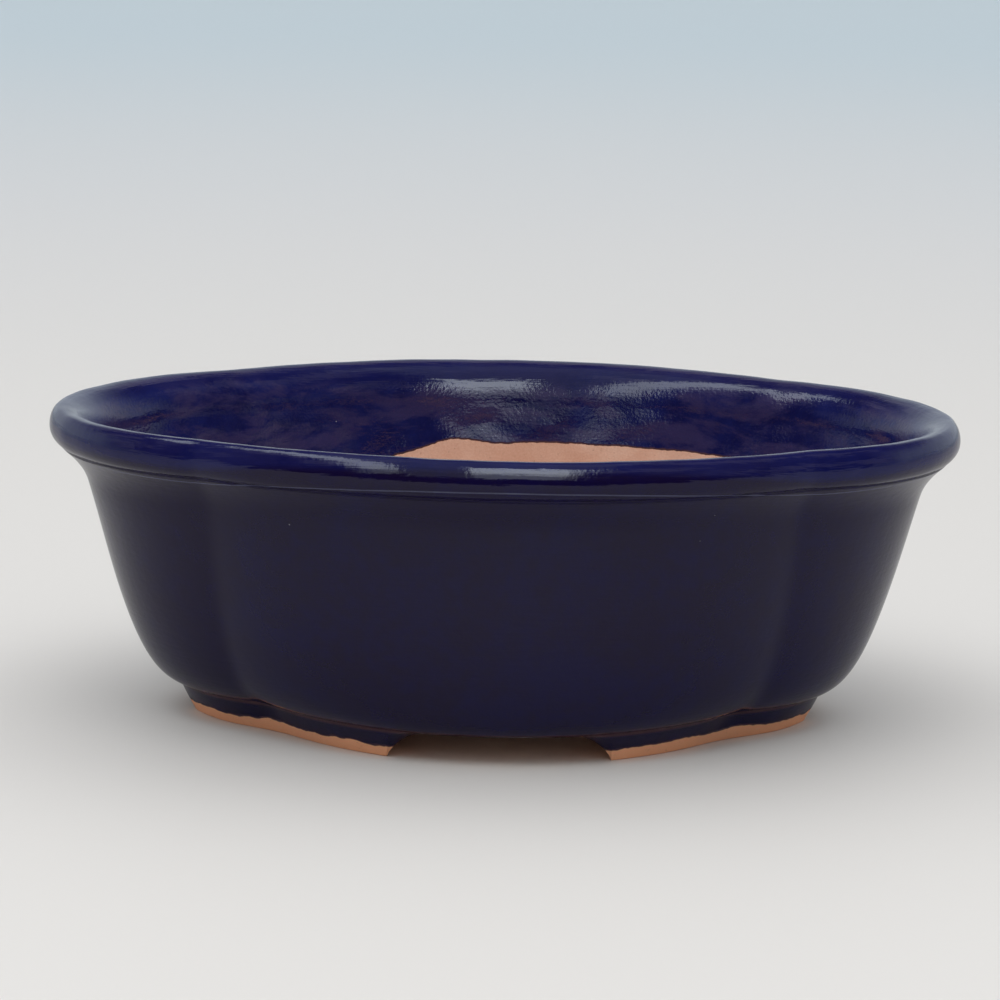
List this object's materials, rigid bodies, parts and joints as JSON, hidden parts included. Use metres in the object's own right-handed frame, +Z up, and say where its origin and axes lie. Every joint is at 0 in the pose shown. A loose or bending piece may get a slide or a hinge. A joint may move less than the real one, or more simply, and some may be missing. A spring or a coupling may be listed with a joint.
{
  "type": "bonsai pot",
  "caption": "Low oval bonsai pot of four soft lobes, with a rolled lip, flared walls, drain holes and feet cut by shallow arches, in blue glaze.",
  "frame": {"origin": "middle of the ground that the feet stand on, under the centre of the pot", "axes": "+X along the pot's length, +Z up, and -Y out of its front"},
  "size_m": [0.31, 0.24, 0.105],
  "materials": {
    "cobalt_glaze": "glossy",
    "bare_clay": "matte"
  },
  "bodies": {
    "root": {"floor_slab": "bare_clay", "wall_front": "cobalt_glaze", "wall_right": "cobalt_glaze", "wall_back": "cobalt_glaze", "wall_left": "cobalt_glaze", "lip_front": "cobalt_glaze", "lip_right": "cobalt_glaze", "lip_back": "cobalt_glaze", "lip_left": "cobalt_glaze", "foot_front_right": "cobalt_glaze", "foot_back_right": "cobalt_glaze", "foot_back_left": "cobalt_glaze", "foot_front_left": "cobalt_glaze"}
  },
  "joints": []
}
